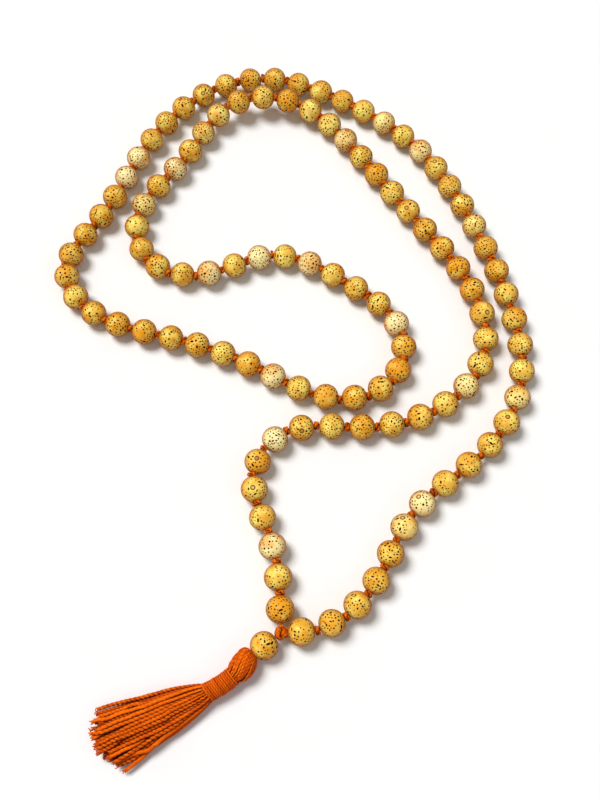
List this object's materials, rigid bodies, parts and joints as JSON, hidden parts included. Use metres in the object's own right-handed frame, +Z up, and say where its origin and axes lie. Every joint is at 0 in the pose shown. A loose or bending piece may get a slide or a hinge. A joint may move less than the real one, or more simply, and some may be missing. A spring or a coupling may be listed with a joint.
{
  "type": "mala prayer beads",
  "caption": "Closed strand of pitted seed beads on a knotted cord, laid flat in two laps, ending in a joint knot, a guru bead and a wrapped yarn tassel.",
  "frame": {"origin": "middle of the outline, on the surface the beads rest on", "axes": "+Z up from the surface, +Y from the tassel towards the far end of the coil, +X to the right seen with the tassel nearest"},
  "size_m": [0.1503, 0.232, 0.0107],
  "materials": {
    "seed": "polished",
    "guru_seed": "polished",
    "cord": "matte",
    "joint_knot": "matte",
    "head_yarn": "matte",
    "wrap_yarn": "matte",
    "skirt_yarn": "matte"
  },
  "bodies": {
    "coil_top": {"beads_020_023": "seed", "beads_024_027": "seed", "beads_028_031": "seed", "beads_032_035": "seed", "beads_036_038": "seed", "beads_073_076": "seed", "beads_077_080": "seed", "beads_081_084": "seed", "beads_085_087": "seed", "cord_020_038": "cord", "cord_073_087": "cord"},
    "right_1": {"beads_016_019": "seed", "beads_088_091": "seed", "cord_016_019": "cord", "cord_088_091": "cord"},
    "right_2": {"beads_010_012": "seed", "beads_013_015": "seed", "beads_092_095": "seed", "beads_096_099": "seed", "beads_100_102": "seed", "cord_010_015": "cord", "cord_092_102": "cord"},
    "right_3": {"beads_006_009": "seed", "beads_103_105": "seed", "cord_006_009": "cord", "cord_103_105": "cord"},
    "right_4": {"beads_001_003": "seed", "beads_004_005": "seed", "beads_106_108": "seed", "cord_001_005": "cord", "cord_106_108": "cord"},
    "left_1": {"beads_039_042": "seed", "beads_043_046": "seed", "beads_047_049": "seed", "beads_067_069": "seed", "beads_070_072": "seed", "cord_039_049": "cord", "cord_067_072": "cord"},
    "left_2": {"beads_050_053": "seed", "beads_063_066": "seed", "cord_050_053": "cord", "cord_063_066": "cord"},
    "left_tip": {"beads_054_056": "seed", "beads_057_059": "seed", "beads_060_062": "seed", "cord_054_062": "cord"},
    "guru_knot": {"guru_knot": "joint_knot"},
    "guru_cord": {"guru_cord": "cord"},
    "guru_bead": {"guru_bead": "guru_seed"},
    "tassel_knot": {"tassel_knot": "joint_knot"},
    "tassel": {"tassel_head": "head_yarn", "tassel_wrap": "wrap_yarn"},
    "skirt": {"tassel_skirt": "skirt_yarn"}
  },
  "joints": [
    {"name": "fold_right_1", "type": "hinge", "parent": "coil_top", "child": "right_1", "pos_m": [0.0582, 0.05545, 0.0039], "axis": [-0.9932, -0.1168, 0], "range_deg": [0, 30]},
    {"name": "fold_right_2", "type": "hinge", "parent": "right_1", "child": "right_2", "pos_m": [0.0692, 0.02145, 0.0039], "axis": [-0.9806, 0.1961, 0], "range_deg": [0, 30]},
    {"name": "fold_right_3", "type": "hinge", "parent": "right_2", "child": "right_3", "pos_m": [0.0562, -0.02855, 0.0039], "axis": [-0.9994, 0.0348, 0], "range_deg": [0, 30]},
    {"name": "fold_right_4", "type": "hinge", "parent": "right_3", "child": "right_4", "pos_m": [0.03066, -0.0541, 0.0039], "axis": [-0.9976, 0.0698, 0], "range_deg": [0, 30]},
    {"name": "fold_left_1", "type": "hinge", "parent": "coil_top", "child": "left_1", "pos_m": [-0.05609, 0.0666, 0.0039], "axis": [-0.9516, 0.3074, 0], "range_deg": [0, 20]},
    {"name": "fold_left_2", "type": "hinge", "parent": "left_1", "child": "left_2", "pos_m": [-0.0244, 0.00649, 0.0039], "axis": [-0.0974, -0.9952, 0], "range_deg": [0, 20]},
    {"name": "fold_left_tip", "type": "hinge", "parent": "left_2", "child": "left_tip", "pos_m": [0.00668, -0.00869, 0.0039], "axis": [-0.0773, -0.997, 0], "range_deg": [0, 30]},
    {"name": "guru_swing", "type": "hinge", "parent": "right_4", "child": "guru_knot", "pos_m": [-0.0021, -0.08045, 0.0039], "axis": [0, 0, 1], "range_deg": [-20, 30]},
    {"name": "guru_lift", "type": "hinge", "parent": "guru_knot", "child": "guru_cord", "pos_m": [-0.0021, -0.08045, 0.0039], "axis": [-0.5878, 0.809, 0], "range_deg": [0, 50]},
    {"name": "guru_spin", "type": "hinge", "parent": "guru_cord", "child": "guru_bead", "pos_m": [-0.00655, -0.08368, 0.0039], "axis": [-0.809, -0.5878, 0], "continuous": true},
    {"name": "tassel_swing", "type": "hinge", "parent": "guru_cord", "child": "tassel_knot", "pos_m": [-0.01027, -0.08639, 0.0039], "axis": [0, 0, 1], "range_deg": [-40, 40]},
    {"name": "tassel_lift", "type": "hinge", "parent": "tassel_knot", "child": "tassel", "pos_m": [-0.01027, -0.08639, 0.0039], "axis": [-0.6428, 0.766, 0], "range_deg": [0, 40]},
    {"name": "skirt_bend", "type": "hinge", "parent": "tassel", "child": "skirt", "pos_m": [-0.0219, -0.09615, 0.0032], "axis": [0, 0, 1], "range_deg": [-15, 15]}
  ]
}
